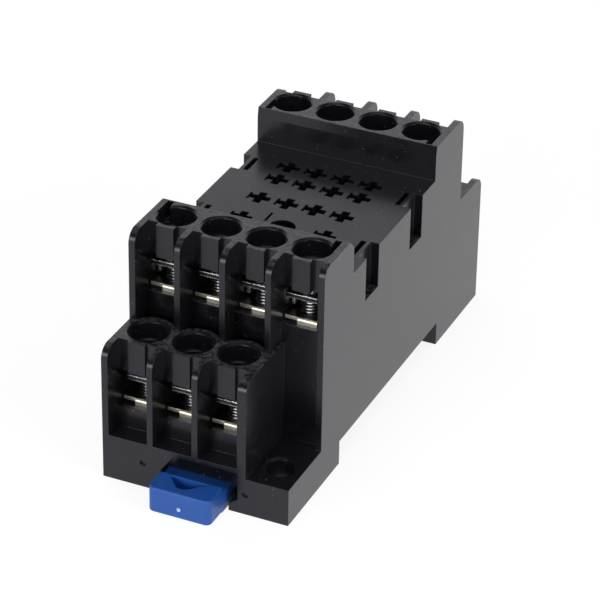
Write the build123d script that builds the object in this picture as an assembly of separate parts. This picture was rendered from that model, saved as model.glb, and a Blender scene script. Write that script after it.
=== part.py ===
import os
from build123d import *

os.makedirs("parts", exist_ok=True)

# Frame: X across the width, Y from the slider end to the far end, Z up from the mounting plane.
# Dimensions are in millimetres. Lengths along Y are counted from the front face of the lower tier.

# Overall size and the side profile
WIDTH = 29.0
LENGTH = 70.6
LOWER_TOP = 21.4
UPPER_TOP = 35.5
DECK_TOP = 29.85
UPPER_SETBACK = 8.75
UPPER_DEPTH = 12.25
BACK_UPPER_DEPTH = 10.85
TIER_CORNER_R = 2.0
TIER_CHAMFER = 1.5
BACK_TIER_CHAMFER = 0.25

# Rail recess in the underside
RAIL_FRONT = 17.5
RAIL_SPAN = 36.5
RAIL_BACK = RAIL_FRONT + RAIL_SPAN
RAIL_HEIGHT = 3.8
RAIL_LIP_HEIGHT = 2.4
RAIL_LIP_REACH = 1.6
RAIL_LIP_WIDTH = 23.0

# Terminal grid: the compartments share what the walls leave of the width
TERMINALS_PER_ROW = 4
OUTER_WALL_T = 0.99
PARTITION_T = 0.9
CLEAR_HALF = (WIDTH - 2 * OUTER_WALL_T - (TERMINALS_PER_ROW - 1) * PARTITION_T) / (2 * TERMINALS_PER_ROW)
TERMINAL_PITCH = 2 * CLEAR_HALF + PARTITION_T
FIRST_TERMINAL_X = OUTER_WALL_T + CLEAR_HALF
LOWER_WELL_SETBACK = 6.95
UPPER_WELL_SETBACK = 7.0
SCREW_HEAD_R = 2.45
WELL_CLEARANCE = 0.35
WELL_R = SCREW_HEAD_R + WELL_CLEARANCE
WELL_WALL_T = 1.0
RIM_CHAMFER = 0.3

# Compartment heights, counted down from the top of the tier
HEAD_BLOCK_DEPTH = 5.1
SCREW_HEAD_DROP = 3.4
CLAMP_DROP = 6.1
PLATE_DROP = 9.9
PLATE_T = 0.6
LEDGE_DROP = 10.95
CLAMP_T = 0.7
FLOOR_Z = 7.2

# Compartment setbacks, counted from the front face of the tier
LOWER_EDGE_SETBACK = 3.45
UPPER_EDGE_SETBACK = 4.2
LOWER_PILLAR_SETBACK = 2.95
UPPER_PILLAR_SETBACK = 3.25
LOWER_WALL_SETBACK = 3.0
UPPER_WALL_SETBACK = 3.55
PILLAR_W = 2.75
CLAMP_SPACE_BACK = 3.3
TUBE_POCKET_DEPTH = 3.0

# Slanted ridge on the left wall of each compartment
RIDGE_START = 0.96
RIDGE_END = 3.4
RIDGE_DROP = 3.85
RIDGE_FALL = 2.05
RIDGE_T = 0.55
RIDGE_PROUD = 0.35

# Mounting bay at the right of the front end, repeated by a half turn at the back
BAY_WALL_T = 1.37
BAY_X = FIRST_TERMINAL_X + TERMINAL_PITCH * (TERMINALS_PER_ROW - 2) + CLEAR_HALF + BAY_WALL_T
BAY_LEDGE_Z = 5.9
BAY_BACK_Y = UPPER_SETBACK + UPPER_WALL_SETBACK
OUTER_WALL_SETBACK = 2.25
OUTER_WALL_Y = UPPER_SETBACK + OUTER_WALL_SETBACK
MOUNT_HOLE_R = 2.2
MOUNT_HOLE_INSET = 3.5
MOUNT_HOLE_X = WIDTH - MOUNT_HOLE_INSET
MOUNT_HOLE_Y = 5.0
MOUNT_CHAMFER = 0.3

# Relay contact slots in the deck, placed from the middle of the deck
DECK_FRONT_Y = UPPER_SETBACK + UPPER_DEPTH
DECK_BACK_Y = LENGTH - UPPER_SETBACK - BACK_UPPER_DEPTH
DECK_MID_Y = (DECK_FRONT_Y + DECK_BACK_Y) / 2
PIN_PITCH_X = 4.4
PIN_COLUMNS = 4
PIN_ROWS_FROM_MID = (-0.9, 5.35, 9.5)
PIN_ROWS_Y = [DECK_MID_Y + row for row in PIN_ROWS_FROM_MID]
COIL_ROW_FROM_MID = -7.25
COIL_ROW_Y = DECK_MID_Y + COIL_ROW_FROM_MID
SLOT_LONG_Y = 3.2
SLOT_ARM_Y_W = 1.2
SLOT_LONG_X = 3.3
SLOT_ARM_X_W = 1.1
SLOT_FLANGE = 0.4
SLOT_FLANGE_W = 2.0
DECK_T = 1.25
SLOT_DEPTH = 5.6

# Marks in the deck
HALF_MOON_FROM_MID = -7.5
HALF_MOON_Y = DECK_MID_Y + HALF_MOON_FROM_MID
HALF_MOON_R = 2.0
HALF_MOON_DEPTH = 1.5
DECK_SLIT_FROM_MID_X = -3.0
DECK_SLIT_FROM_MID_Y = -6.9
DECK_SLIT_LENGTH = 2.6
DECK_SLIT_W = 0.4
SIDE_SLIT_X = 1.9
SIDE_SLIT_W = 0.8
SIDE_SLIT_DEPTH = 3.0
CLIP_RECESS_DEPTH = 1.3
CLIP_RECESS_HEIGHT = 6.95
CLIP_SPANS_FROM_MID = ((-10.5, -5.9), (5.7, 10.2))
SLIT_INSET = 0.2
WELL_SLOT_X = 1.5
WELL_SLOT_W = 1.0
WELL_SLOT_LENGTH = 3.45
WELL_SLOT_DEPTH = 2.4

# Terminal screw
SHANK_R = 1.45
SHANK_BELOW_PLATE = 1.0
DRIVE_SLOT_W = 0.8
DRIVE_SLOT_DEPTH = 1.0
DRIVE_CROSS_L = 3.0
HEAD_CHAMFER = 0.25

# Wire clamp and its travel
CLAMP_LEFT_GAP = 0.64
CLAMP_RIGHT_GAP = 0.24
CLAMP_LEFT = CLEAR_HALF - CLAMP_LEFT_GAP
CLAMP_RIGHT = CLEAR_HALF - CLAMP_RIGHT_GAP
CLAMP_HALF_Y = 2.95
CLAMP_LEG_T = 0.5
CLAMP_LEG_DROP = 2.6
CLAMP_CORNER_R = 0.5
CLAMP_GROOVE_W = 0.5
CLAMP_GROOVE_DEPTH = 0.15
CLAMP_GROOVE_STEP = 1.0
CLAMP_LEG_FRONT = 2.4
CLAMP_LEG_BACK = 0.4
CLAMP_HOLE_GAP = 0.15
CLAMP_HOLE_R = SHANK_R + CLAMP_HOLE_GAP
WIRE_GAP = PLATE_DROP - CLAMP_DROP - CLAMP_T

# Terminals of the upper row whose clamp is fitted the other way round, counted from the first
TURNED_CLAMPS = (0, 2, 3)

# Terminal contact, one stamped strip from the terminal plate to the relay fork
PLATE_LEFT_GAP = 0.19
PLATE_LEFT = CLEAR_HALF - PLATE_LEFT_GAP
PLATE_LEG_GAP = 0.15
PLATE_RIGHT = CLAMP_RIGHT - CLAMP_LEG_T - PLATE_LEG_GAP
PLATE_HALF_Y = 2.6
PLATE_HOLE_GAP = 0.05
PLATE_HOLE_R = SHANK_R + PLATE_HOLE_GAP
LIP_LEFT = 0.9
LIP_REACH = 0.25
LIP_BEND_R = 0.4
TAPER_BACK = 1.4
RUN_W = 2.0
RISER_T = 0.5
FORK_BASE_DROP = 8.25
FORK_BASE_Z = DECK_TOP - FORK_BASE_DROP
FORK_BASE_T = 0.5
FORK_TOP_DROP = 1.5
FORK_TOP_Z = DECK_TOP - FORK_TOP_DROP
FORK_W = 1.0
FORK_HALF_OUTER = 1.4
FORK_LEAF_T = 0.4
FORK_GAP = 0.5
FORK_PINCH_BELOW_TOP = 1.4
RISER_OFFSET = 1.05

# Clearances
FIT = 0.15
RUNNING = 0.1

# Base cover and the chamber above it
COVER_X = 1.2
COVER_FRONT_INSET = 1.5
COVER_BACK_INSET = 2.0
COVER_FRONT = RAIL_FRONT + COVER_FRONT_INSET
COVER_BACK = RAIL_BACK - COVER_BACK_INSET
COVER_T = 1.2
COVER_LEDGE = 1.2
RUN_FLOOR_T = 1.7
CHAMBER_TOP = LOWER_TOP - PLATE_DROP - PLATE_T - RUN_FLOOR_T

# Rail slider
SLIDER_FROM_MID = -0.05
SLIDER_X = WIDTH / 2 + SLIDER_FROM_MID
SLIDER_W = 9.7
SLIDER_H = 4.1
SLIDER_STEP_H = 3.2
SLIDER_OUT = 5.05
SLIDER_GRIP_GAP = 0.9
SLIDER_CORNER_R = 0.9
SLIDER_EDGE_R = 0.3
SLIDER_TRAVEL = 4.0
SLIDER_REACH = 2.1
SLIDER_BACK = RAIL_FRONT + SLIDER_REACH
SLIDER_FLANGE_Z = 1.9
SLIDER_FLANGE_T = 0.9
SLIDER_FLANGE_W = 0.8
SLIDER_LIP_CHAMFER = 1.2
POCKET_OUTLINE = ((-3.15, -1.15), (3.45, -1.15), (2.05, -1.75), (1.15, -2.9), (0.05, -3.65), (-0.95, -3.65),
                  (-2.85, -1.6))
POCKET_R = 0.2
POCKET_DEPTH = 2.0
POST_Y = 7.2
POST_T = 1.0
POST_HALF_W = 1.2
POST_BOTTOM = 1.0
SPRING_SLOT_HALF_W = 1.5
SPRING_SLOT_WALL_T = 3.0
SPRING_SLOT_BACK = RAIL_FRONT - SPRING_SLOT_WALL_T
SPRING_SLOT_FLOOR = 0.7
SPRING_R = 1.0
SPRING_WIRE_R = 0.18
SPRING_TURNS = 5
SPRING_Z = 2.0

# Slot in the front face around the slider, and the pips beside it: X from the slider's middle, and Z
FRONT_SLOT = ((-5.25, 0.0), (-5.25, 3.7), (-3.05, 6.5), (6.7, 6.5), (6.7, 2.1), (5.35, 1.2), (5.35, 0.0))
FRONT_SLOT_DEPTH = 1.8
PIPS = ((-8.05, 4.0), (7.9, 3.3))
PIP_R = 0.5
PIP_DEPTH = 0.3

OVER = 1.0
MID_X = WIDTH / 2
HALF_TURN = Pos(WIDTH, LENGTH, 0) * Rot(0, 0, 180)
TO_ORIGIN = Pos(-MID_X, -(LENGTH - SLIDER_OUT) / 2, 0)
WELL_XS = [FIRST_TERMINAL_X + TERMINAL_PITCH * i for i in range(TERMINALS_PER_ROW)]
PIN_XS = [MID_X + PIN_PITCH_X * (i - (PIN_COLUMNS - 1) / 2) for i in range(PIN_COLUMNS)]


def block(x0, x1, y0, y1, z0, z1):
    """A box given by its limits."""
    return Pos(x0, y0, z0) * Box(x1 - x0, y1 - y0, z1 - z0, align=(Align.MIN, Align.MIN, Align.MIN))


def post(x, y, z0, z1, radius):
    """An upright cylinder given by its axis and its ends."""
    return Pos(x, y, z0) * Cylinder(radius, z1 - z0, align=(Align.CENTER, Align.CENTER, Align.MIN))


def side_shape(points, x0, x1):
    """A profile drawn in the side view and given a width."""
    face = make_face(Polyline([(y, z) for y, z in points], close=True))
    return Pos(x0, 0, 0) * extrude(Plane.YZ * face, x1 - x0)


def front_shape(points, y0, y1):
    """A profile drawn in the front view and given a depth."""
    face = make_face(Polyline([(x, z) for x, z in points], close=True))
    return Pos(0, y1, 0) * extrude(Plane.XZ * face, y1 - y0)


def tier(well, front, top, edge, pillar, wall):
    """The levels and setbacks of one tier of terminals."""
    return {"y": front + well, "front": front, "top": top, "edge": front + edge,
            "pillar": front + pillar, "wall": front + wall}


LOWER = tier(LOWER_WELL_SETBACK, 0.0, LOWER_TOP,
             LOWER_EDGE_SETBACK, LOWER_PILLAR_SETBACK, LOWER_WALL_SETBACK)
UPPER = tier(UPPER_WELL_SETBACK, UPPER_SETBACK, UPPER_TOP,
             UPPER_EDGE_SETBACK, UPPER_PILLAR_SETBACK, UPPER_WALL_SETBACK)
LOWER_XS = WELL_XS[:-1]


def is_turned(x, row):
    """Whether the clamp of this terminal is fitted the other way round."""
    return row is UPPER and WELL_XS.index(x) in TURNED_CLAMPS


def half_turn_about(x, y):
    """A half turn about the upright axis through a point."""
    return Pos(x, y, 0) * Rot(0, 0, 180) * Pos(-x, -y, 0)


def compartment(x, row, floor):
    """The space of one terminal: wire entry, clamp space, screw well and the bore under the plate."""
    top = row["top"]
    ledge = top - LEDGE_DROP
    head = top - HEAD_BLOCK_DEPTH
    back = row["y"] + CLAMP_SPACE_BACK
    x0 = x - CLEAR_HALF
    x1 = x + CLEAR_HALF
    entry = block(x0, x1, row["front"] - OVER, row["edge"], floor, top + OVER)
    entry -= block(x0, x1, row["wall"], row["edge"] + OVER, floor - OVER, ledge)
    entry -= block(x - PILLAR_W / 2, x + PILLAR_W / 2, row["pillar"], row["edge"] + OVER, head, top)
    clamp_space = block(x0, x1, row["wall"], back, ledge, head)
    well = post(x, row["y"], head - RUNNING, top + OVER, WELL_R)
    rim = Pos(x, row["y"], top - RIM_CHAMFER) * Cone(
        WELL_R, WELL_R + RIM_CHAMFER, RIM_CHAMFER, align=(Align.CENTER, Align.CENTER, Align.MIN))
    bore_bottom = top - PLATE_DROP - PLATE_T - SHANK_BELOW_PLATE - WIRE_GAP - FIT * 2
    bore = post(x, row["y"], bore_bottom, ledge + RUNNING, SHANK_R + FIT * 2)
    leg_slot = block(x + CLAMP_RIGHT - CLAMP_LEG_T - RUNNING, x1,
                     row["y"] - CLAMP_LEG_FRONT - FIT, row["y"] + CLAMP_LEG_BACK + FIT,
                     top - CLAMP_DROP - CLAMP_T - CLAMP_LEG_DROP - WIRE_GAP - FIT * 2, ledge + RUNNING)
    if is_turned(x, row):
        leg_slot = half_turn_about(x, row["y"]) * leg_slot
    return entry + clamp_space + well + rim + bore + leg_slot


def ridge(x, row):
    """The slanted ridge on the left wall of a compartment."""
    y0 = row["front"] + RIDGE_START
    y1 = row["front"] + RIDGE_END
    z0 = row["top"] - RIDGE_DROP
    z1 = z0 - RIDGE_FALL
    points = ((y0, z0), (y1, z1), (y1, z1 - RIDGE_T), (y0, z0 - RIDGE_T))
    return side_shape(points, x - CLEAR_HALF - RUNNING, x - CLEAR_HALF + RIDGE_PROUD)


def lane(x0, y0, turn_y, x1, y1, width):
    """Plan of a stamped strip: along Y, across to the pin column, then along Y again."""
    half = width / 2
    low = min(x0, x1)
    high = max(x0, x1)
    plan = Pos(x0, (y0 + turn_y + half) / 2) * Rectangle(width, turn_y + half - y0)
    plan += Pos((low + high) / 2, turn_y) * Rectangle(high - low + width, width)
    plan += Pos(x1, (turn_y - half + y1) / 2) * Rectangle(width, y1 - turn_y + half)
    return plan


def fork():
    """The spring fork that grips a relay pin, drawn at the origin in the front view."""
    pinch_z = FORK_TOP_Z - FORK_PINCH_BELOW_TOP
    pinch = FORK_GAP / 2
    flare = pinch + FORK_LEAF_T
    base = FORK_BASE_Z + FORK_BASE_T
    right = ((0, FORK_BASE_Z), (FORK_HALF_OUTER, FORK_BASE_Z), (FORK_HALF_OUTER, base + FORK_LEAF_T),
             (pinch + FORK_LEAF_T, pinch_z), (flare + FORK_LEAF_T, FORK_TOP_Z), (flare, FORK_TOP_Z),
             (pinch, pinch_z), (FORK_HALF_OUTER - FORK_LEAF_T, base + FORK_LEAF_T),
             (FORK_HALF_OUTER - FORK_LEAF_T, base), (0, base))
    half = front_shape(right, -FORK_W / 2, FORK_W / 2)
    return half + mirror(half, Plane.YZ)


FORK = fork()


def contact(x, row, pin_x, pin_y, turn_y):
    """One stamped strip with its terminal plate, its run under the deck and its relay fork."""
    z1 = row["top"] - PLATE_DROP
    z0 = z1 - PLATE_T
    front = row["y"] - PLATE_HALF_Y
    plate = block(x - PLATE_LEFT, x + PLATE_RIGHT, front, row["y"] + PLATE_HALF_Y, z0, z1)
    plate = chamfer(plate.edges().filter_by(Axis.Z).sort_by(Axis.Y)[-2:], TAPER_BACK, TAPER_BACK / 2)
    lip = block(x - LIP_LEFT, x + PLATE_RIGHT, front - LIP_REACH, front + PLATE_T,
                row["top"] - LEDGE_DROP, z1)
    along_x = lip.edges().filter_by(Axis.X)
    lip = fillet(along_x.sort_by(lambda e: e.center().Z - e.center().Y)[-1:], LIP_BEND_R)
    plate += lip
    if is_turned(x, row):
        plate -= block(x - PLATE_LEFT - OVER, x - PLATE_RIGHT, row["y"] - CLAMP_LEG_BACK - FIT,
                       row["y"] + PLATE_HALF_Y + OVER, z0 - OVER, z1 + OVER)
    run_end = pin_y - RISER_OFFSET
    plan = lane(x, row["y"] + PLATE_HALF_Y - RUNNING, turn_y, pin_x, run_end, RUN_W)
    run = Pos(0, 0, z0) * extrude(plan, PLATE_T)
    riser_z0 = min(z0, FORK_BASE_Z)
    riser_z1 = max(z1, FORK_BASE_Z + FORK_BASE_T)
    half = RUN_W / 2
    riser = block(pin_x - half, pin_x + half, run_end - RISER_T, run_end, riser_z0, riser_z1)
    foot = block(pin_x - half, pin_x + half, run_end - RISER_T, pin_y + FORK_W / 2,
                 FORK_BASE_Z, FORK_BASE_Z + FORK_BASE_T)
    strip = plate + run + riser + foot + Pos(pin_x, pin_y, 0) * FORK
    return strip - post(x, row["y"], z0 - OVER, z1 + OVER, PLATE_HOLE_R)


def contact_space(x, row, pin_x, pin_y, turn_y):
    """The passage in the housing for one contact strip, with the shaft for its fork."""
    z1 = row["top"] - PLATE_DROP
    z0 = z1 - PLATE_T
    run_end = pin_y - RISER_OFFSET
    start = row["y"] + CLAMP_SPACE_BACK - RUNNING
    plan = lane(x, start, turn_y, pin_x, run_end, RUN_W + FIT * 2)
    space = Pos(0, 0, z0) * extrude(plan, PLATE_T + FIT)
    low = min(z0, FORK_BASE_Z) - FIT
    if row is LOWER:
        low = CHAMBER_TOP - RUNNING
        opening = Pos(0, 0, low) * extrude(plan, z0 - low + RUNNING)
        space += opening & block(0, WIDTH, COVER_FRONT + COVER_LEDGE, COVER_BACK, low, z1)
    half = FORK_HALF_OUTER + FIT
    space += block(pin_x - half, pin_x + half, run_end - RISER_T - FIT, pin_y + FORK_W / 2 + FIT * 2,
                   low, DECK_TOP - DECK_T)
    return space


def relay_slot(x, y):
    """Plus-shaped slot in the deck over one relay fork."""
    plan = Rectangle(SLOT_ARM_Y_W, SLOT_LONG_Y) + Rectangle(SLOT_LONG_X, SLOT_ARM_X_W)
    plan += Pos(-SLOT_LONG_X / 2, 0) * Rectangle(SLOT_FLANGE, SLOT_FLANGE_W)
    return Pos(x, y, DECK_TOP - SLOT_DEPTH) * extrude(plan, SLOT_DEPTH + OVER)


# How far before its pin each kind of strip turns across
UPPER_TURN = 3.1
COIL_TURN = 3.25
FRONT_LOWER_TURN = 3.85
BACK_LOWER_TURN = 3.45


def route(terminal, row, column, pin_y, turn):
    """Where one strip starts, which pin column and row it ends at, and where it turns across."""
    return WELL_XS[terminal], row, PIN_XS[column], pin_y, pin_y - turn


# The back end is drawn as a second front end and turned half round.
FRONT_ROUTES = {
    "front_upper_1": route(0, UPPER, 0, PIN_ROWS_Y[0], UPPER_TURN),
    "front_upper_2": route(1, UPPER, 1, PIN_ROWS_Y[0], UPPER_TURN),
    "front_upper_3": route(2, UPPER, 2, PIN_ROWS_Y[0], UPPER_TURN),
    "front_upper_4": route(3, UPPER, 3, PIN_ROWS_Y[0], UPPER_TURN),
    "front_lower_1": route(0, LOWER, 0, COIL_ROW_Y, COIL_TURN),
    "front_lower_2": route(1, LOWER, 0, PIN_ROWS_Y[1], FRONT_LOWER_TURN),
    "front_lower_3": route(2, LOWER, 3, COIL_ROW_Y, COIL_TURN),
}
BACK_ROUTES = {
    "back_upper_4": route(0, UPPER, 0, LENGTH - PIN_ROWS_Y[2], UPPER_TURN),
    "back_upper_3": route(1, UPPER, 1, LENGTH - PIN_ROWS_Y[2], UPPER_TURN),
    "back_upper_2": route(2, UPPER, 2, LENGTH - PIN_ROWS_Y[2], UPPER_TURN),
    "back_upper_1": route(3, UPPER, 3, LENGTH - PIN_ROWS_Y[2], UPPER_TURN),
    "back_lower_4": route(0, LOWER, 0, LENGTH - PIN_ROWS_Y[1], BACK_LOWER_TURN),
    "back_lower_3": route(1, LOWER, 1, LENGTH - PIN_ROWS_Y[1], BACK_LOWER_TURN),
    "back_lower_2": route(2, LOWER, 2, LENGTH - PIN_ROWS_Y[1], BACK_LOWER_TURN),
}


def end_spaces(routes):
    """Everything that is cut out of one end of the housing, drawn as the front end."""
    upper_ledge = UPPER["top"] - LEDGE_DROP
    cuts = [compartment(x, UPPER, LOWER_TOP) for x in WELL_XS]
    cuts += [compartment(x, LOWER, FLOOR_Z) for x in LOWER_XS]
    for x in LOWER_XS:
        pocket = block(x - CLEAR_HALF, x + CLEAR_HALF, UPPER["front"], BAY_BACK_Y,
                       LOWER_TOP - TUBE_POCKET_DEPTH, LOWER_TOP + RUNNING)
        cuts.append(pocket - post(x, LOWER["y"], 0, LOWER_TOP + OVER, WELL_R + WELL_WALL_T))
    outer_wall_x = WELL_XS[-1] + CLEAR_HALF
    cuts.append(block(BAY_X, WIDTH + OVER, -OVER, OUTER_WALL_Y, BAY_LEDGE_Z, UPPER_TOP + OVER))
    cuts.append(block(BAY_X, outer_wall_x, -OVER, BAY_BACK_Y, BAY_LEDGE_Z, upper_ledge))
    corner = block(outer_wall_x, WIDTH + OVER, OUTER_WALL_Y - RUNNING, OUTER_WALL_Y + TIER_CORNER_R,
                   UPPER_TOP - TIER_CORNER_R, UPPER_TOP + OVER)
    cuts.append(corner - Pos(MID_X, OUTER_WALL_Y + TIER_CORNER_R, UPPER_TOP - TIER_CORNER_R)
                * Rot(0, 90, 0) * Cylinder(TIER_CORNER_R, WIDTH * 2))
    cuts.append(post(MOUNT_HOLE_X, MOUNT_HOLE_Y, -OVER, BAY_LEDGE_Z + OVER, MOUNT_HOLE_R))
    cuts.append(Pos(MOUNT_HOLE_X, MOUNT_HOLE_Y, BAY_LEDGE_Z - MOUNT_CHAMFER) * Cone(
        MOUNT_HOLE_R, MOUNT_HOLE_R + MOUNT_CHAMFER, MOUNT_CHAMFER,
        align=(Align.CENTER, Align.CENTER, Align.MIN)))
    for x in (WELL_SLOT_X, WIDTH - WELL_SLOT_X):
        cuts.append(block(x - WELL_SLOT_W / 2, x + WELL_SLOT_W / 2,
                          UPPER["y"], UPPER["y"] + WELL_SLOT_LENGTH,
                          UPPER_TOP - WELL_SLOT_DEPTH, UPPER_TOP + OVER))
    cuts += [contact_space(*path) for path in routes.values()]
    return cuts


def make_housing():
    """The main moulding."""
    outline = Polyline([
        (0, 0), (0, LOWER_TOP), (UPPER_SETBACK, LOWER_TOP), (UPPER_SETBACK, UPPER_TOP),
        (DECK_FRONT_Y - TIER_CHAMFER, UPPER_TOP), (DECK_FRONT_Y, UPPER_TOP - TIER_CHAMFER),
        (DECK_FRONT_Y, DECK_TOP), (DECK_BACK_Y, DECK_TOP),
        (DECK_BACK_Y, UPPER_TOP - TIER_CHAMFER), (DECK_BACK_Y + BACK_TIER_CHAMFER, UPPER_TOP),
        (LENGTH - UPPER_SETBACK, UPPER_TOP), (LENGTH - UPPER_SETBACK, LOWER_TOP), (LENGTH, LOWER_TOP),
        (LENGTH, 0), (RAIL_BACK, 0), (RAIL_BACK, RAIL_HEIGHT), (RAIL_FRONT, RAIL_HEIGHT), (RAIL_FRONT, 0),
    ], close=True)
    profile = make_face(outline)
    corners = [v for v in profile.vertices()
               if (abs(v.Y - LOWER_TOP) < RUNNING and min(v.X, LENGTH - v.X) < RUNNING)
               or (abs(v.Y - UPPER_TOP) < RUNNING
                   and abs(min(v.X, LENGTH - v.X) - UPPER_SETBACK) < RUNNING)]
    profile = fillet(corners, TIER_CORNER_R)
    body = extrude(Plane.YZ * profile, WIDTH)

    cuts = end_spaces(FRONT_ROUTES)
    cuts += [HALF_TURN * cut for cut in end_spaces(BACK_ROUTES)]
    cuts.append(block(COVER_X, WIDTH - COVER_X, COVER_FRONT, COVER_BACK,
                      RAIL_HEIGHT - OVER, RAIL_HEIGHT + COVER_T))
    cuts.append(block(COVER_X + COVER_LEDGE, WIDTH - COVER_X - COVER_LEDGE, COVER_FRONT + COVER_LEDGE,
                      COVER_BACK - COVER_LEDGE, RAIL_HEIGHT, CHAMBER_TOP))
    cuts.append(Pos(SLIDER_X, 0, 0) * front_shape(FRONT_SLOT, -OVER, FRONT_SLOT_DEPTH))
    half = SLIDER_W / 2 + FIT
    cuts.append(block(SLIDER_X - half, SLIDER_X + half, -OVER, RAIL_FRONT + OVER,
                      -OVER, SLIDER_STEP_H + FIT))
    half += SLIDER_FLANGE_W
    cuts.append(block(SLIDER_X - half, SLIDER_X + half, FRONT_SLOT_DEPTH - FIT, RAIL_FRONT + OVER,
                      SLIDER_FLANGE_Z - FIT, SLIDER_FLANGE_Z + SLIDER_FLANGE_T + FIT))
    for x, z in PIPS:
        cuts.append(Pos(SLIDER_X + x, PIP_DEPTH, z) * Rot(90, 0, 0) * Cylinder(
            PIP_R, PIP_DEPTH + OVER, align=(Align.CENTER, Align.CENTER, Align.MIN)))
    for y in PIN_ROWS_Y:
        cuts += [relay_slot(x, y) for x in PIN_XS]
    cuts += [relay_slot(x, COIL_ROW_Y) for x in (PIN_XS[0], PIN_XS[-1])]
    moon = post(MID_X, HALF_MOON_Y, DECK_TOP - HALF_MOON_DEPTH, DECK_TOP + OVER, HALF_MOON_R)
    cuts.append(moon & block(0, WIDTH, HALF_MOON_Y, LENGTH, 0, UPPER_TOP))
    slit_x = MID_X + DECK_SLIT_FROM_MID_X
    slit_y = DECK_MID_Y + DECK_SLIT_FROM_MID_Y
    cuts.append(block(slit_x - DECK_SLIT_W / 2, slit_x + DECK_SLIT_W / 2, slit_y, slit_y + DECK_SLIT_LENGTH,
                      DECK_TOP - HALF_MOON_DEPTH, DECK_TOP + OVER))
    for start, end in CLIP_SPANS_FROM_MID:
        y0 = DECK_MID_Y + start
        y1 = DECK_MID_Y + end
        for x0, x1 in ((-OVER, CLIP_RECESS_DEPTH), (WIDTH - CLIP_RECESS_DEPTH, WIDTH + OVER)):
            cuts.append(block(x0, x1, y0, y1, DECK_TOP - CLIP_RECESS_HEIGHT, DECK_TOP + OVER))
        for x in (SIDE_SLIT_X, WIDTH - SIDE_SLIT_X - SIDE_SLIT_W):
            cuts.append(block(x, x + SIDE_SLIT_W, y0 + SLIT_INSET, y1 - SLIT_INSET,
                              DECK_TOP - SIDE_SLIT_DEPTH, DECK_TOP + OVER))
    body = body.cut(*[solid for cut in cuts for solid in cut.solids()])

    lip = block(MID_X - RAIL_LIP_WIDTH / 2, MID_X + RAIL_LIP_WIDTH / 2, RAIL_BACK - RAIL_LIP_REACH,
                RAIL_BACK + RUNNING, 0, RAIL_LIP_HEIGHT)
    lip = chamfer(lip.edges().filter_by(Axis.X).sort_by(lambda e: e.center().Y + e.center().Z)[:1], OVER)
    extras = [lip]
    extras.append(block(SLIDER_X - POST_HALF_W, SLIDER_X + POST_HALF_W, POST_Y, POST_Y + POST_T,
                        POST_BOTTOM, SLIDER_STEP_H + FIT + RUNNING))
    front_ridges = [ridge(x, UPPER) for x in WELL_XS] + [ridge(x, LOWER) for x in LOWER_XS]
    extras += front_ridges
    extras += [HALF_TURN * item for item in front_ridges]
    return body.fuse(*extras)


def make_cover():
    """The plate that closes the underside inside the rail recess."""
    cover = block(COVER_X + RUNNING, WIDTH - COVER_X - RUNNING, COVER_FRONT + RUNNING, COVER_BACK - RUNNING,
                  RAIL_HEIGHT, RAIL_HEIGHT + COVER_T)
    return chamfer(cover.edges().filter_by(Axis.Z), COVER_LEDGE / 2)


def make_slider():
    """The latch that holds the socket on the rail, with the pocket for a screwdriver at its front."""
    x0 = SLIDER_X - SLIDER_W / 2
    x1 = SLIDER_X + SLIDER_W / 2
    grip = block(x0, x1, -SLIDER_OUT, -SLIDER_GRIP_GAP, 0, SLIDER_H)
    grip = fillet(grip.edges().filter_by(Axis.Z).sort_by(Axis.Y)[:2], SLIDER_CORNER_R)
    rims = grip.faces().sort_by(Axis.Z)
    outer = [edge for face in (rims[0], rims[-1]) for edge in face.edges()
             if edge.center().Y < -SLIDER_GRIP_GAP - RUNNING]
    grip = fillet(outer, SLIDER_EDGE_R)
    body = grip + block(x0, x1, -SLIDER_GRIP_GAP - RUNNING, RAIL_FRONT, 0, SLIDER_STEP_H)
    lip_points = ((RAIL_FRONT - OVER, 0), (SLIDER_BACK - SLIDER_LIP_CHAMFER, 0),
                  (SLIDER_BACK, SLIDER_LIP_CHAMFER), (SLIDER_BACK, RAIL_LIP_HEIGHT),
                  (RAIL_FRONT - OVER, RAIL_LIP_HEIGHT))
    body += side_shape(lip_points, x0, x1)
    body += block(x0 - SLIDER_FLANGE_W, x1 + SLIDER_FLANGE_W, SLIDER_TRAVEL + FRONT_SLOT_DEPTH, RAIL_FRONT,
                  SLIDER_FLANGE_Z, SLIDER_FLANGE_Z + SLIDER_FLANGE_T)
    body -= block(SLIDER_X - SPRING_SLOT_HALF_W, SLIDER_X + SPRING_SLOT_HALF_W, POST_Y - RUNNING,
                  SPRING_SLOT_BACK, SPRING_SLOT_FLOOR, SLIDER_H + OVER)
    outline = make_face(Polyline(list(POCKET_OUTLINE), close=True))
    outline = fillet(outline.vertices(), POCKET_R)
    pocket = Pos(SLIDER_X, 0, SLIDER_H - POCKET_DEPTH) * extrude(outline, POCKET_DEPTH + OVER)
    return body - pocket


def make_spring():
    """The return spring of the slider, between the housing's post and the end of the slider's slot."""
    y0 = POST_Y + POST_T
    length = SPRING_SLOT_BACK - y0
    coil = length - 2 * SPRING_WIRE_R
    path = Helix(pitch=coil / SPRING_TURNS, height=coil, radius=SPRING_R)
    section = Plane(path @ 0, z_dir=path % 0) * Circle(SPRING_WIRE_R)
    wire = sweep(section, path=path, is_frenet=True)
    return Pos(SLIDER_X, y0 + SPRING_WIRE_R, SPRING_Z) * Rot(-90, 0, 0) * wire


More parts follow.
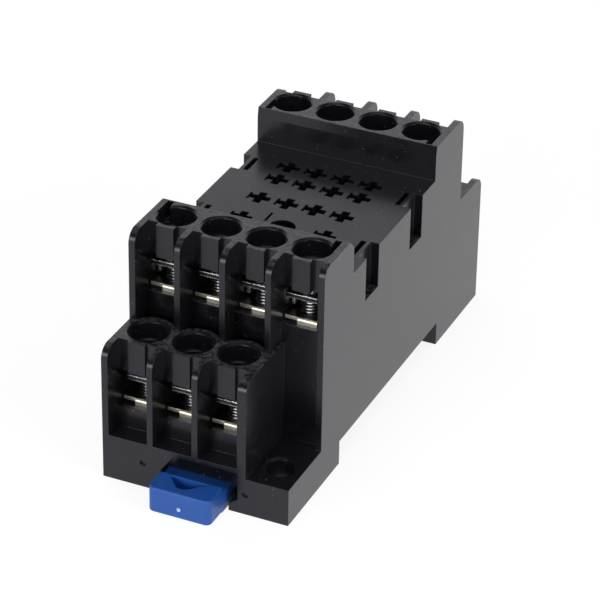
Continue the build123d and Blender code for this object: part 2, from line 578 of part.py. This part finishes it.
def make_screw(x, row):
    """Terminal screw with a combined slot and cross drive."""
    head_top = row["top"] - SCREW_HEAD_DROP
    head_low = row["top"] - CLAMP_DROP
    tip = row["top"] - PLATE_DROP - PLATE_T - SHANK_BELOW_PLATE
    head = post(x, row["y"], head_low, head_top, SCREW_HEAD_R)
    head = chamfer(head.edges().sort_by(Axis.Z)[-1], HEAD_CHAMFER)
    shank = post(x, row["y"], tip, head_low, SHANK_R)
    shank = chamfer(shank.edges().sort_by(Axis.Z)[0], HEAD_CHAMFER)
    drive = Rectangle(2 * SCREW_HEAD_R + OVER, DRIVE_SLOT_W) + Rectangle(DRIVE_SLOT_W, DRIVE_CROSS_L)
    drive_cut = Pos(x, row["y"], head_top - DRIVE_SLOT_DEPTH) * extrude(drive, DRIVE_SLOT_DEPTH + OVER)
    return head + shank - drive_cut


def make_clamp(x, row):
    """Captive clamp plate that presses a wire on the terminal plate, with one guiding leg."""
    z1 = row["top"] - CLAMP_DROP
    z0 = z1 - CLAMP_T
    left = x - CLAMP_LEFT
    right = x + CLAMP_RIGHT
    front = row["y"] - CLAMP_HALF_Y
    back = row["y"] + CLAMP_HALF_Y
    plate = block(left, right, front, back, z0, z1)
    plate = fillet(plate.edges().filter_by(Axis.Z), CLAMP_CORNER_R)
    leg = block(right - CLAMP_LEG_T, right, row["y"] - CLAMP_LEG_FRONT, row["y"] + CLAMP_LEG_BACK,
                z0 - CLAMP_LEG_DROP, z0 + CLAMP_T / 2)
    plate = plate + leg
    for i in (0, 1):
        y = front + CLAMP_GROOVE_STEP / 2 + CLAMP_GROOVE_STEP * i
        plate -= block(left - OVER, right - CLAMP_LEG_T - RUNNING, y, y + CLAMP_GROOVE_W,
                       z0 - OVER, z0 + CLAMP_GROOVE_DEPTH)
    plate -= post(x, row["y"], z0 - OVER, z1 + OVER, CLAMP_HOLE_R)
    if is_turned(x, row):
        plate = half_turn_about(x, row["y"]) * plate
    return plate


pieces = {
    "housing": make_housing(),
    "base_cover": make_cover(),
    "rail_slider": make_slider(),
    "slider_spring": make_spring(),
}
for routes, turn in ((FRONT_ROUTES, Pos(0, 0, 0)), (BACK_ROUTES, HALF_TURN)):
    for place, path in routes.items():
        x, row = path[:2]
        pieces["contact_" + place] = turn * contact(*path)
        pieces["clamp_" + place] = turn * make_clamp(x, row)
        pieces["screw_" + place] = turn * make_screw(x, row)

for name, piece in pieces.items():
    placed = TO_ORIGIN * piece
    placed.label = name
    export_step(placed, os.path.join("parts", name + ".step"))
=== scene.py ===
import math

import bmesh
import bpy
from mathutils import Matrix, Vector


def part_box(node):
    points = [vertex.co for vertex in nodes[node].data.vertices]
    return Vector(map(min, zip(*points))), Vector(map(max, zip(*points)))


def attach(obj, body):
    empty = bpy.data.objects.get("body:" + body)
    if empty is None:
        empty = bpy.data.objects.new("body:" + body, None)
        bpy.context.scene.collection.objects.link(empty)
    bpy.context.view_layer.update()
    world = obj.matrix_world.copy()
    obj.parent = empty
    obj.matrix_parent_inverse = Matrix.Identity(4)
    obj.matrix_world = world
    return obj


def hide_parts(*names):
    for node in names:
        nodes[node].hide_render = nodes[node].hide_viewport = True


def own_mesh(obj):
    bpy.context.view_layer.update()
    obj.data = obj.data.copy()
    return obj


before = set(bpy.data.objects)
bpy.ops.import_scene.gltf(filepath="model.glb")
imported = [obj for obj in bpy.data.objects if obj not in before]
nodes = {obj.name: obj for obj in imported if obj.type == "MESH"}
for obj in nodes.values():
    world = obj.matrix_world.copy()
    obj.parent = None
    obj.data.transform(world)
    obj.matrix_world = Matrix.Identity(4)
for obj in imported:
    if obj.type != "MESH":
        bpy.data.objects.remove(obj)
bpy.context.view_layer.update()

MM = 0.001

# Camera: fitted in a frame whose origin is the housing's front left bottom corner, in millimetres
PITCH, ROLL, YAW = 0.5343, 0.0172, -0.4198
CAMERA_OFFSET = Vector((-28.0519, 25.0428, 433.7082))
LENS, SENSOR = 182.41, 36.0


def add_camera():
    """The camera from which the photo was taken."""
    corner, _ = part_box("housing")
    to_image_axes = Matrix(((1, 0, 0), (0, 0, -1), (0, 1, 0)))
    turn = Matrix.Rotation(ROLL, 3, "Z") @ Matrix.Rotation(PITCH, 3, "X")
    turn = turn @ to_image_axes @ Matrix.Rotation(YAW, 3, "Z")
    place = corner - (turn.transposed() @ CAMERA_OFFSET) * MM
    axes = Matrix((turn[0], -turn[1], -turn[2])).transposed()
    data = bpy.data.cameras.new("camera")
    data.lens = LENS
    data.sensor_width = SENSOR
    data.clip_start = 0.01
    camera = bpy.data.objects.new("camera", data)
    camera.matrix_world = Matrix.Translation(place) @ axes.to_4x4()
    bpy.context.collection.objects.link(camera)
    bpy.context.scene.camera = camera


# Shader parts
def new_material(name):
    material = bpy.data.materials.new(name)
    material.use_nodes = True
    tree = material.node_tree
    return material, tree, tree.nodes["Principled BSDF"]


def grey(value, warm=0.0):
    return (value + warm, value, value - warm, 1)


def as_colour(value):
    """A colour as it is, or a plain number as that grey."""
    return value if isinstance(value, tuple) else grey(value)


def object_place(tree):
    """Where a point lies in its object's own coordinates."""
    return tree.nodes.new("ShaderNodeTexCoord").outputs["Object"]


def noise(tree, scale, detail=4.0, roughness=0.6, stretch=(1, 1, 1)):
    """Noise in the object's own coordinates; scale is in features per millimetre."""
    mapping = tree.nodes.new("ShaderNodeMapping")
    mapping.inputs["Scale"].default_value = [share / MM for share in stretch]
    tree.links.new(object_place(tree), mapping.inputs["Vector"])
    texture = tree.nodes.new("ShaderNodeTexNoise")
    texture.inputs["Scale"].default_value = scale
    texture.inputs["Detail"].default_value = detail
    texture.inputs["Roughness"].default_value = roughness
    tree.links.new(mapping.outputs["Vector"], texture.inputs["Vector"])
    return texture.outputs["Fac"]


def ramp(tree, source, stops):
    """A ramp over positions with their colours, or with plain numbers for greys."""
    node = tree.nodes.new("ShaderNodeValToRGB")
    elements = node.color_ramp.elements
    for element, (position, colour) in zip(elements, (stops[0], stops[-1])):
        element.position = position
        element.color = as_colour(colour)
    for position, colour in stops[1:-1]:
        elements.new(position).color = as_colour(colour)
    tree.links.new(source, node.inputs["Fac"])
    return node.outputs["Color"]


def span(tree, source, limits):
    """A value from 0 to 1 brought between two limits."""
    node = tree.nodes.new("ShaderNodeMapRange")
    node.inputs["To Min"].default_value, node.inputs["To Max"].default_value = limits
    tree.links.new(source, node.inputs["Value"])
    return node.outputs["Result"]


def calculate(tree, operation, *values):
    """A math node over sockets and plain numbers."""
    node = tree.nodes.new("ShaderNodeMath")
    node.operation = operation
    for socket, value in zip(node.inputs, values):
        if isinstance(value, (int, float)):
            socket.default_value = value
        else:
            tree.links.new(value, socket)
    return node.outputs[0]


def mixed(tree, factor, first, second):
    """Two colours or colour sockets, mixed by a factor."""
    node = tree.nodes.new("ShaderNodeMix")
    node.data_type = "RGBA"
    tree.links.new(factor, node.inputs[0])
    for socket, value in ((node.inputs[6], first), (node.inputs[7], second)):
        if isinstance(value, tuple):
            socket.default_value = value
        else:
            tree.links.new(value, socket)
    return node.outputs[2]


def part_of(tree, source, axis):
    """One coordinate of a vector: X, Y or Z."""
    split = tree.nodes.new("ShaderNodeSeparateXYZ")
    tree.links.new(source, split.inputs["Vector"])
    return split.outputs[axis]


def rounded_normal(tree, radius, samples):
    """The surface normal with edges rounded to a radius in millimetres."""
    bevel = tree.nodes.new("ShaderNodeBevel")
    bevel.samples = samples
    bevel.inputs["Radius"].default_value = radius * MM
    return bevel.outputs["Normal"]


def bump(tree, shader, height, strength, distance, round_edges=0.0):
    """Relief of a depth in millimetres, over edges that look rounded where asked."""
    node = tree.nodes.new("ShaderNodeBump")
    node.inputs["Strength"].default_value = strength
    node.inputs["Distance"].default_value = distance * MM
    tree.links.new(height, node.inputs["Height"])
    if round_edges:
        tree.links.new(rounded_normal(tree, round_edges, 4), node.inputs["Normal"])
    tree.links.new(node.outputs["Normal"], shader.inputs["Normal"])


def edges(tree, radius):
    """1 along the edges and 0 on the faces between them."""
    geometry = tree.nodes.new("ShaderNodeNewGeometry")
    along = tree.nodes.new("ShaderNodeVectorMath")
    along.operation = "DOT_PRODUCT"
    tree.links.new(rounded_normal(tree, radius, 6), along.inputs[0])
    tree.links.new(geometry.outputs["True Normal"], along.inputs[1])
    return ramp(tree, along.outputs["Value"], [(0.92, 1.0), (0.992, 0.0)])


def tops(tree):
    """1 on the faces that look up."""
    normal = tree.nodes.new("ShaderNodeTexCoord").outputs["Normal"]
    return ramp(tree, part_of(tree, normal, "Z"), [(0.7, 0.0), (0.95, 1.0)])


# Moulded plastic: heights of the relay deck and of the lowest tops that get scuffed, in millimetres
DECK_TOP, LOWEST_WORN_TOP = 29.85, 18.0
DECK_BAND = 0.3
PLASTIC_EDGE_R = 0.15
DUST_COLOUR = grey(0.35, 0.02)
SCUFF_COLOUR = (0.060, 0.060, 0.066, 1)


def worn_tops(tree):
    """1 on the tops of the terminal tiers, where scuffs gather, and 0 on the smooth relay deck."""
    height = part_of(tree, object_place(tree), "Z")
    on_deck = calculate(tree, "COMPARE", height, DECK_TOP * MM, DECK_BAND * MM)
    on_tiers = calculate(tree, "GREATER_THAN", height, LOWEST_WORN_TOP * MM)
    area_mask = calculate(tree, "SUBTRACT", on_tiers, on_deck)
    return calculate(tree, "MULTIPLY", tops(tree), area_mask)


def plastic(name, dark, light, roughness, dust=0.0):
    """Moulded plastic: slow colour drift, patchy gloss, a fine grain and, with dust, specks and scuffs."""
    material, tree, shader = new_material(name)
    colour = ramp(tree, noise(tree, 0.12, 3.0), [(0.3, dark), (0.7, light)])
    if dust:
        specks = ramp(tree, noise(tree, 2.6, 2.0, 0.5), [(0.0, 0.0), (0.73, 0.0), (0.78, dust)])
        colour = mixed(tree, specks, colour, DUST_COLOUR)
        scuffs = ramp(tree, noise(tree, 1.3, 6.0, 0.75), [(0.42, 0.0), (0.62, 1.0)])
        scuffs = calculate(tree, "MULTIPLY", scuffs, worn_tops(tree))
        colour = mixed(tree, scuffs, colour, SCUFF_COLOUR)
    tree.links.new(colour, shader.inputs["Base Color"])
    tree.links.new(span(tree, noise(tree, 0.35, 5.0), roughness), shader.inputs["Roughness"])
    bump(tree, shader, noise(tree, 9.0, 3.0), 0.2, 0.02, PLASTIC_EDGE_R)
    return material


def add_cool_bloom(material):
    """The slightly blue, hazy gloss of the black moulding."""
    inputs = material.node_tree.nodes["Principled BSDF"].inputs
    inputs["Specular Tint"].default_value = (0.82, 0.82, 0.92, 1)
    inputs["Sheen Weight"].default_value = 0.03
    inputs["Sheen Roughness"].default_value = 0.5
    inputs["Sheen Tint"].default_value = (0.90, 0.92, 1.0, 1)


def painted_highlight_blue():
    """Pale blue of the small moulding point, a painted highlight on the bump."""
    material, tree, shader = new_material("painted_highlight_blue")
    highlight_tone = ramp(tree, noise(tree, 3.0, 3.0), [(0.3, (0.30, 0.48, 0.80, 1)), (0.7, (0.62, 0.76, 0.95, 1))])
    tree.links.new(highlight_tone, shader.inputs["Base Color"])
    tree.links.new(span(tree, noise(tree, 1.6, 4.0), (0.4, 0.6)), shader.inputs["Roughness"])
    bump(tree, shader, noise(tree, 5.0, 3.0), 0.4, 0.03)
    return material


# Plated metal: width of the edges that stay bright as painted highlights on a shaded clamp, in millimetres,
# and where the plate of a clamp starts above its leg, as a share of the clamp's height
HIGHLIGHT_EDGE_R = 0.24
PLATE_START, PLATE_FULL = 0.76, 0.78


def plated(name, dark, light, roughness, stretch=(1, 1, 1), round_edges=0.0, painted_shade=None, painted_shade_top=None):
    """Plated metal with fine drawn lines, cloudy gloss and, where asked, a clamp plate's faces dark with
    painted shade, its edges left bright as painted highlights, and tops darkened partly by dirt and partly
    by painted shade.
    """
    material, tree, shader = new_material(name)
    shader.inputs["Metallic"].default_value = 1.0
    colour = ramp(tree, noise(tree, 0.8, 4.0), [(0.3, dark), (0.7, light)])
    # Painted shade: the faces of the clamp's plate turn dark, and its edges keep the plated colour as
    # painted highlights
    if painted_shade:
        area_mask = ramp(tree, noise(tree, 0.7, 3.0), [(0.40, 0.5), (0.54, 1.0)])
        area_mask = calculate(tree, "MULTIPLY", edges(tree, HIGHLIGHT_EDGE_R), area_mask)
        faces = mixed(tree, area_mask, painted_shade, colour)
        share_of_height = part_of(tree, tree.nodes.new("ShaderNodeTexCoord").outputs["Generated"], "Z")
        plate = ramp(tree, share_of_height, [(PLATE_START, 0.0), (PLATE_FULL, 1.0)])
        colour = mixed(tree, plate, colour, faces)
    # Painted shade, with some dirt: the faces that look up are darker
    if painted_shade_top:
        colour = mixed(tree, tops(tree), colour, painted_shade_top)
    tree.links.new(colour, shader.inputs["Base Color"])
    tree.links.new(span(tree, noise(tree, 1.6, 4.0), roughness), shader.inputs["Roughness"])
    bump(tree, shader, noise(tree, 3.0, 2.0, stretch=stretch), 0.3, 0.02, round_edges)
    return material


# Thread of the terminal screws, in millimetres, and the painted shade in its roots
THREAD_PITCH, THREAD_ROOT, THREAD_CREST = 0.5, 1.17, 1.45
ROOT_SHADE = grey(0.06)


def paint_shade_in_thread_roots(material):
    """Painted shade on the screw's shank: its crests keep the plated colour and the roots between them turn
    dark.
    """
    tree = material.node_tree
    shader = tree.nodes["Principled BSDF"]
    bright = shader.inputs["Base Color"].links[0].from_socket
    place = object_place(tree)
    flat = tree.nodes.new("ShaderNodeVectorMath")
    flat.operation = "MULTIPLY"
    flat.inputs[1].default_value = (1, 1, 0)
    tree.links.new(place, flat.inputs[0])
    radius = tree.nodes.new("ShaderNodeVectorMath")
    radius.operation = "LENGTH"
    tree.links.new(flat.outputs["Vector"], radius.inputs[0])
    depth = tree.nodes.new("ShaderNodeMapRange")
    depth.inputs["From Min"].default_value = THREAD_ROOT * MM
    depth.inputs["From Max"].default_value = THREAD_CREST * MM
    tree.links.new(radius.outputs["Value"], depth.inputs["Value"])
    crest = ramp(tree, depth.outputs["Result"], [(0.25, 0.0), (0.70, 1.0)])
    head = calculate(tree, "GREATER_THAN", part_of(tree, place, "Z"), 0.0)
    unshaded = calculate(tree, "MAXIMUM", crest, head)
    tree.links.new(mixed(tree, unshaded, ROOT_SHADE, bright), shader.inputs["Base Color"])


black = plastic("black_moulding", (0.0030, 0.0030, 0.0042, 1), (0.0050, 0.0050, 0.0066, 1), (0.20, 0.30),
                dust=0.5)
add_cool_bloom(black)
blue = plastic("blue_moulding", (0.009, 0.080, 0.35, 1), (0.015, 0.096, 0.41, 1), (0.36, 0.48))
screw_metal = plated("plated_screw", grey(0.88, -0.02), grey(0.96, -0.02), (0.20, 0.32))
# Painted shade in the roots of the screw's thread
paint_shade_in_thread_roots(screw_metal)
# The clamp's plate gets painted shade on its faces and painted highlights on its edges
clamp_metal = plated("plated_clamp", grey(0.88, 0.01), grey(0.95, 0.01), (0.20, 0.34),
                     stretch=(1, 6, 6), round_edges=0.16, painted_shade=grey(0.03))
# The contact's faces that look up are darker, partly dirt and partly painted shade
contact_metal = plated("plated_contact", (0.80, 0.76, 0.60, 1), (0.93, 0.89, 0.74, 1), (0.22, 0.38),
                       stretch=(6, 1, 1), round_edges=0.12, painted_shade_top=grey(0.16, 0.02))
spring_metal = plated("spring_steel", grey(0.40), grey(0.52), (0.25, 0.40), stretch=(1, 1, 6))

# The first word of a node's name tells its material
SURFACES = {"housing": black, "base": black, "rail": blue, "slider": spring_metal,
            "contact": contact_metal, "clamp": clamp_metal, "screw": screw_metal}

for node, item in nodes.items():
    item.data.materials.clear()
    item.data.materials.append(SURFACES[node.split("_")[0]])


# Terminal screws, in millimetres, with the head's seat at z = 0
HEAD_R, HEAD_H = 2.45, 2.7
HEAD_EDGE = 0.12
CROWN_R = HEAD_R - 0.4
CROWN_START, CROWN_MID = HEAD_H - 0.35, HEAD_H - 0.15
SLOT_HALF, SLOT_DEPTH, CROSS_HALF = 0.4, 1.0, 1.5
SLOT_END = 0.97 * HEAD_R
SOFTENING = 0.06
SHANK_START = 0.3
TIP_TAPER = 0.3
STEPS = 40

# One turn of the thread, as shares of the pitch with their radii
THREAD_SHAPE = ((0.0, THREAD_ROOT), (0.12, THREAD_ROOT), (0.40, THREAD_CREST), (0.46, THREAD_CREST))

# The angle at which the first screw stands, and the step from each screw to the next, in radians
FIRST_ANGLE, ANGLE_STEP = 0.9, 2.3


def to_mesh(name, bm):
    """A mesh made from bm, which ends here."""
    mesh = bpy.data.meshes.new(name)
    bm.to_mesh(mesh)
    bm.free()
    return mesh


def angle_of(step):
    return 2 * math.pi * step / STEPS


def ring(bm, radius, z):
    """The corners of a level circle."""
    return [bm.verts.new((radius * math.cos(angle_of(i)), radius * math.sin(angle_of(i)), z))
            for i in range(STEPS)]


def skin(bm, low, high):
    """The wall between two closed outlines with as many corners."""
    count = len(low)
    for i in range(count):
        bm.faces.new((low[i], low[(i + 1) % count], high[(i + 1) % count], high[i]))


def head_blank():
    """The head before its drive is cut."""
    bm = bmesh.new()
    profile = ((HEAD_R - HEAD_EDGE, 0.0), (HEAD_R, HEAD_EDGE), (HEAD_R, CROWN_START),
               (HEAD_R - HEAD_EDGE, CROWN_MID), (CROWN_R, HEAD_H))
    rings = [ring(bm, radius, z) for radius, z in profile]
    for low, high in zip(rings, rings[1:]):
        skin(bm, low, high)
    bm.faces.new(rings[-1])
    bm.faces.new(list(reversed(rings[0])))
    return to_mesh("screw_head", bm)


def drive_cutter():
    """The slot with its short cross bar, round from the right end of the slot."""
    quarter = [(SLOT_END, SLOT_HALF), (SLOT_HALF, SLOT_HALF), (SLOT_HALF, CROSS_HALF)]
    half = quarter + [(-x, y) for x, y in reversed(quarter)]
    outline = half + [(-x, -y) for x, y in half]
    bm = bmesh.new()
    low = [bm.verts.new((x, y, HEAD_H - SLOT_DEPTH)) for x, y in outline]
    high = [bm.verts.new((x, y, HEAD_H + SLOT_DEPTH)) for x, y in outline]
    skin(bm, low, high)
    bm.faces.new(list(reversed(low)))
    bm.faces.new(high)
    bmesh.ops.recalc_face_normals(bm, faces=bm.faces)
    return to_mesh("drive", bm)


def cut_head():
    """The head with its drive cut and its edges softened."""
    head = bpy.data.objects.new("screw_head", head_blank())
    tool = bpy.data.objects.new("drive", drive_cutter())
    for item in (head, tool):
        bpy.context.collection.objects.link(item)
    cut = head.modifiers.new("drive", "BOOLEAN")
    cut.object = tool
    cut.operation = "DIFFERENCE"
    cut.solver = "EXACT"
    soften = head.modifiers.new("soften", "BEVEL")
    soften.width = SOFTENING
    soften.segments = 2
    soften.limit_method = "ANGLE"
    soften.angle_limit = 0.8
    graph = bpy.context.evaluated_depsgraph_get()
    mesh = bpy.data.meshes.new_from_object(head.evaluated_get(graph))
    bpy.data.objects.remove(head)
    bpy.data.objects.remove(tool)
    return mesh


def add_thread(bm, length):
    """The threaded shank, from inside the head down to its tapered tip at z = -length."""
    rows = []
    for turn in range(int(length / THREAD_PITCH) + 2):
        for share, radius in THREAD_SHAPE:
            row = []
            for i in range(STEPS):
                z = SHANK_START - (turn + share + i / STEPS - 1) * THREAD_PITCH
                z = max(-length, min(SHANK_START, z))
                r = min(radius, THREAD_CREST - max(0.0, TIP_TAPER - (z + length)))
                row.append(bm.verts.new((r * math.cos(angle_of(i)), -r * math.sin(angle_of(i)), z)))
            rows.append(row)
    for upper, lower in zip(rows, rows[1:]):
        for i in range(STEPS - 1):
            bm.faces.new((upper[i], upper[i + 1], lower[i + 1], lower[i]))
    next_rows = rows[len(THREAD_SHAPE):]
    for upper, lower, next_upper, next_lower in zip(rows, rows[1:], next_rows, next_rows[1:]):
        bm.faces.new((upper[-1], next_upper[0], next_lower[0], lower[-1]))
    bm.faces.new(list(reversed(ring(bm, THREAD_CREST - TIP_TAPER, -length))))


def screw_mesh(length):
    """One screw with a shank of this length, brought to metres."""
    bm = bmesh.new()
    bm.from_mesh(cut_head())
    add_thread(bm, length)
    bmesh.ops.recalc_face_normals(bm, faces=bm.faces)
    for vertex in bm.verts:
        vertex.co *= MM
    mesh = to_mesh("terminal_screw", bm)
    mesh.materials.append(screw_metal)
    return mesh


def add_screws():
    """The fourteen terminal screws, which share one mesh and stand at different angles."""
    low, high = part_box("screw_front_upper_1")
    mesh = screw_mesh((high.z - low.z) / MM - HEAD_H)
    for number, node in enumerate(sorted(n for n in nodes if n.startswith("screw_"))):
        low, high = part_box(node)
        item = bpy.data.objects.new("threaded_" + node, mesh)
        item.location = ((low.x + high.x) / 2, (low.y + high.y) / 2, high.z - HEAD_H * MM)
        item.rotation_euler.z = FIRST_ANGLE + ANGLE_STEP * number
        bpy.context.collection.objects.link(item)
        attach(item, node)
        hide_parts(node)


# Slider: the mark that the moulding's feed left on its front, in millimetres
GATE_MARK_R, GATE_MARK_Z = 0.32, 1.53
GATE_MARK_FLATNESS = 0.6


def add_gate_mark():
    """The small moulding point on the front of the slider."""
    low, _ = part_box("rail_slider")
    bm = bmesh.new()
    bmesh.ops.create_uvsphere(bm, u_segments=24, v_segments=12, radius=GATE_MARK_R * MM)
    bmesh.ops.scale(bm, vec=(1, GATE_MARK_FLATNESS, 1), verts=bm.verts)
    mesh = to_mesh("gate_mark", bm)
    for face in mesh.polygons:
        face.use_smooth = True
    # The pale colour of the mark is a painted highlight
    mesh.materials.append(painted_highlight_blue())
    item = bpy.data.objects.new("slider_gate_mark", mesh)
    item.location = (0.0, low.y, GATE_MARK_Z * MM)
    bpy.context.collection.objects.link(item)
    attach(item, "rail_slider")


def shorten_spring():
    """Gives the slider's spring, whose front end is fixed, a mesh of its own."""
    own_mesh(nodes["slider_spring"])


add_screws()
add_gate_mark()
shorten_spring()

# Room, in metres: the floor, its own glow for the camera and reflections, and the tent's radius
FLOOR_HALF, FLOOR_GAP = 3.0, 0.00002
FLOOR_GLOW, FLOOR_STRENGTH = 0.75, 1.15
WORLD_LIGHT = 0.3
CEILING_R = 1.6

# Brightness of the tent over the sine of the elevation, and the side on which its white backdrop stands
BACKDROP_SIDE = (-0.41, 0.91, 0.0)
FRONT_LEVELS = [(0.0, 0.9), (0.17, 0.55), (0.34, 0.22), (0.50, 0.10), (1.0, 0.06)]
BACK_LEVELS = [(0.0, 1.0), (0.52, 0.95), (0.68, 0.35), (0.82, 0.08), (1.0, 0.06)]

# Where the lamps point
LAMP_TARGET = Vector((0, 0, 0.02))


def background_rays(tree):
    """1 for camera, glossy and transmission rays."""
    path = tree.nodes.new("ShaderNodeLightPath")
    glossy = calculate(tree, "MAXIMUM", path.outputs["Is Camera Ray"], path.outputs["Is Glossy Ray"])
    return calculate(tree, "MAXIMUM", glossy, path.outputs["Is Transmission Ray"])


def add_floor():
    """A white floor, a hair below the object so that no two faces share a plane."""
    mesh = bpy.data.meshes.new("floor")
    corners = [(-FLOOR_HALF, -FLOOR_HALF, 0), (FLOOR_HALF, -FLOOR_HALF, 0),
               (FLOOR_HALF, FLOOR_HALF, 0), (-FLOOR_HALF, FLOOR_HALF, 0)]
    mesh.from_pydata(corners, [], [(0, 1, 2, 3)])
    floor = bpy.data.objects.new("floor", mesh)
    bpy.context.collection.objects.link(floor)
    floor.location.z = -FLOOR_GAP
    material, tree, shader = new_material("floor")
    shader.inputs["Base Color"].default_value = grey(0.92)
    shader.inputs["Roughness"].default_value = 0.9
    shader.inputs["Specular IOR Level"].default_value = 0.0
    glow = tree.nodes.new("ShaderNodeEmission")
    glow.inputs["Strength"].default_value = FLOOR_STRENGTH
    mix = tree.nodes.new("ShaderNodeMixShader")
    share = calculate(tree, "MULTIPLY", background_rays(tree), FLOOR_GLOW)
    tree.links.new(share, mix.inputs["Fac"])
    tree.links.new(shader.outputs["BSDF"], mix.inputs[1])
    tree.links.new(glow.outputs["Emission"], mix.inputs[2])
    tree.links.new(mix.outputs["Shader"], tree.nodes["Material Output"].inputs["Surface"])
    mesh.materials.append(material)


def add_world():
    """Weak light from all round, behind a background that looks white."""
    world = bpy.data.worlds.new("studio")
    bpy.context.scene.world = world
    world.use_nodes = True
    tree = world.node_tree
    background = tree.nodes["Background"]
    background.inputs["Color"].default_value = grey(1.0)
    background.inputs["Strength"].default_value = WORLD_LIGHT
    white = tree.nodes.new("ShaderNodeBackground")
    white.inputs["Color"].default_value = grey(1.0)
    mix = tree.nodes.new("ShaderNodeMixShader")
    tree.links.new(background_rays(tree), mix.inputs["Fac"])
    tree.links.new(background.outputs["Background"], mix.inputs[1])
    tree.links.new(white.outputs["Background"], mix.inputs[2])
    tree.links.new(mix.outputs["Shader"], tree.nodes["World Output"].inputs["Surface"])


def add_ceiling():
    """A tent over the object, dark overhead and white low down behind it, which the camera looks through."""
    bm = bmesh.new()
    bmesh.ops.create_uvsphere(bm, u_segments=64, v_segments=48, radius=CEILING_R)
    below = [v for v in bm.verts if v.co.z < -MM]
    bmesh.ops.delete(bm, geom=below, context="VERTS")
    mesh = to_mesh("ceiling", bm)
    for face in mesh.polygons:
        face.use_smooth = True
    item = bpy.data.objects.new("ceiling", mesh)
    bpy.context.collection.objects.link(item)
    item.visible_camera = False
    material, tree, _ = new_material("ceiling")
    place = tree.nodes.new("ShaderNodeVectorMath")
    place.operation = "SCALE"
    place.inputs["Scale"].default_value = 1 / CEILING_R
    tree.links.new(object_place(tree), place.inputs[0])
    behind = tree.nodes.new("ShaderNodeVectorMath")
    behind.operation = "DOT_PRODUCT"
    behind.inputs[1].default_value = BACKDROP_SIDE
    tree.links.new(place.outputs["Vector"], behind.inputs[0])
    height = part_of(tree, place.outputs["Vector"], "Z")
    share = ramp(tree, behind.outputs["Value"], [(0.1, 0.0), (0.6, 1.0)])
    levels = mixed(tree, share, ramp(tree, height, FRONT_LEVELS), ramp(tree, height, BACK_LEVELS))
    glow = tree.nodes.new("ShaderNodeEmission")
    tree.links.new(levels, glow.inputs["Color"])
    tree.links.new(glow.outputs["Emission"], tree.nodes["Material Output"].inputs["Surface"])
    mesh.materials.append(material)


def add_lamp(name, place, size, power):
    """A soft rectangular lamp, with its place and size in metres and its power in watts."""
    data = bpy.data.lights.new(name, "AREA")
    data.shape = "RECTANGLE"
    data.size, data.size_y = size
    data.energy = power
    lamp = bpy.data.objects.new(name, data)
    lamp.location = place
    lamp.rotation_mode = "QUATERNION"
    lamp.rotation_quaternion = (LAMP_TARGET - Vector(place)).to_track_quat("-Z", "Y")
    bpy.context.collection.objects.link(lamp)


bpy.context.scene.view_settings.view_transform = "Standard"
add_camera()
add_floor()
add_world()
add_ceiling()
add_lamp("front", (-0.15, -0.95, 0.32), (0.8, 0.35), 5.0)
add_lamp("right", (0.85, -0.25, 0.45), (0.5, 0.4), 3.0)
add_lamp("top", (0.05, -0.1, 1.2), (0.9, 0.9), 3.0)
